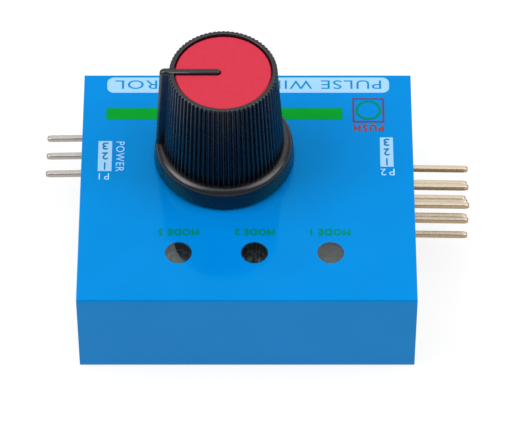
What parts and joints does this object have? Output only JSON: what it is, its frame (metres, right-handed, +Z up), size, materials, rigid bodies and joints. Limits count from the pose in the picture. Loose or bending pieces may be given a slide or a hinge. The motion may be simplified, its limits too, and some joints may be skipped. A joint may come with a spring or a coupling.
{
  "type": "servo tester",
  "caption": "Flat film-wrapped servo tester with a ribbed pointer knob, pin headers at both ends, lamp windows and a push switch under the film.",
  "frame": {"origin": "centre of the film sleeve's flat underside", "axes": "+X towards the output header, -Y towards the three lamp windows, +Z up through the knob"},
  "size_m": [0.0463, 0.0316, 0.0257],
  "materials": {
    "film": "glossy printed blue film with small clear windows",
    "tape": "pale double-sided tape",
    "laminate": "green solder mask, satin",
    "knob_black": "moulded black plastic, satin",
    "cap_red": "moulded red plastic, matte with fine grain",
    "black_plastic": "moulded black plastic",
    "phenolic": "brown phenolic board",
    "steel": "pressed plated steel",
    "zinc": "die-cast, plated",
    "bronze": "spring bronze",
    "tinned_metal": "tin plated, slightly dull",
    "gold_pin": "gold flashed, polished",
    "nylon": "natural nylon",
    "lamp_resin": "clear tinted resin",
    "ceramic": "sintered ceramic"
  },
  "bodies": {
    "tester_body": {"sleeve": "film", "seam_tape": "tape", "circuit_board": "laminate", "pot_base": "black_plastic", "switch_base": "black_plastic", "input_header_housing": "black_plastic", "output_header_housing": "black_plastic", "microcontroller": "black_plastic", "voltage_regulator": "black_plastic", "resistor_1": "black_plastic", "resistor_2": "black_plastic", "resistor_3": "black_plastic", "resistor_4": "black_plastic", "pot_wafer": "phenolic", "pot_cover": "steel", "switch_cover": "steel", "switch_dome": "steel", "pot_bushing": "zinc", "pot_terminal_1": "tinned_metal", "pot_terminal_2": "tinned_metal", "pot_terminal_3": "tinned_metal", "switch_contact_1": "tinned_metal", "switch_contact_2": "tinned_metal", "input_pin_1": "tinned_metal", "input_pin_2": "tinned_metal", "input_pin_3": "tinned_metal", "led_auto_cathode": "tinned_metal", "led_auto_anode": "tinned_metal", "led_neutral_cathode": "tinned_metal", "led_neutral_anode": "tinned_metal", "led_man_cathode": "tinned_metal", "led_man_anode": "tinned_metal", "output_pin_1": "gold_pin", "output_pin_2": "gold_pin", "output_pin_3": "gold_pin", "output_pin_4": "gold_pin", "output_pin_5": "gold_pin", "output_pin_6": "gold_pin", "output_pin_7": "gold_pin", "output_pin_8": "gold_pin", "output_pin_9": "gold_pin", "led_auto": "lamp_resin", "led_neutral": "lamp_resin", "led_man": "lamp_resin", "capacitor_1": "ceramic", "capacitor_2": "ceramic"},
    "knob_rotor": {"knob_body": "knob_black", "knob_cap": "cap_red", "pot_shaft": "zinc", "pot_rotor": "nylon", "pot_wiper": "bronze"},
    "select_plunger": {"switch_plunger": "black_plastic"}
  },
  "joints": [
    {"name": "knob_turn", "type": "hinge", "parent": "tester_body", "child": "knob_rotor", "pos_m": [-0.0025, 0.004, 0.0114], "axis": [0, 0, 1], "range_deg": [-60, 240]},
    {"name": "select_press", "type": "slide", "parent": "tester_body", "child": "select_plunger", "axis": [0, 0, -1], "range_m": [0, 0.00025], "stiffness_N_per_m": 1500, "springref_m": -0.001, "deforming": ["switch_dome"]}
  ]
}
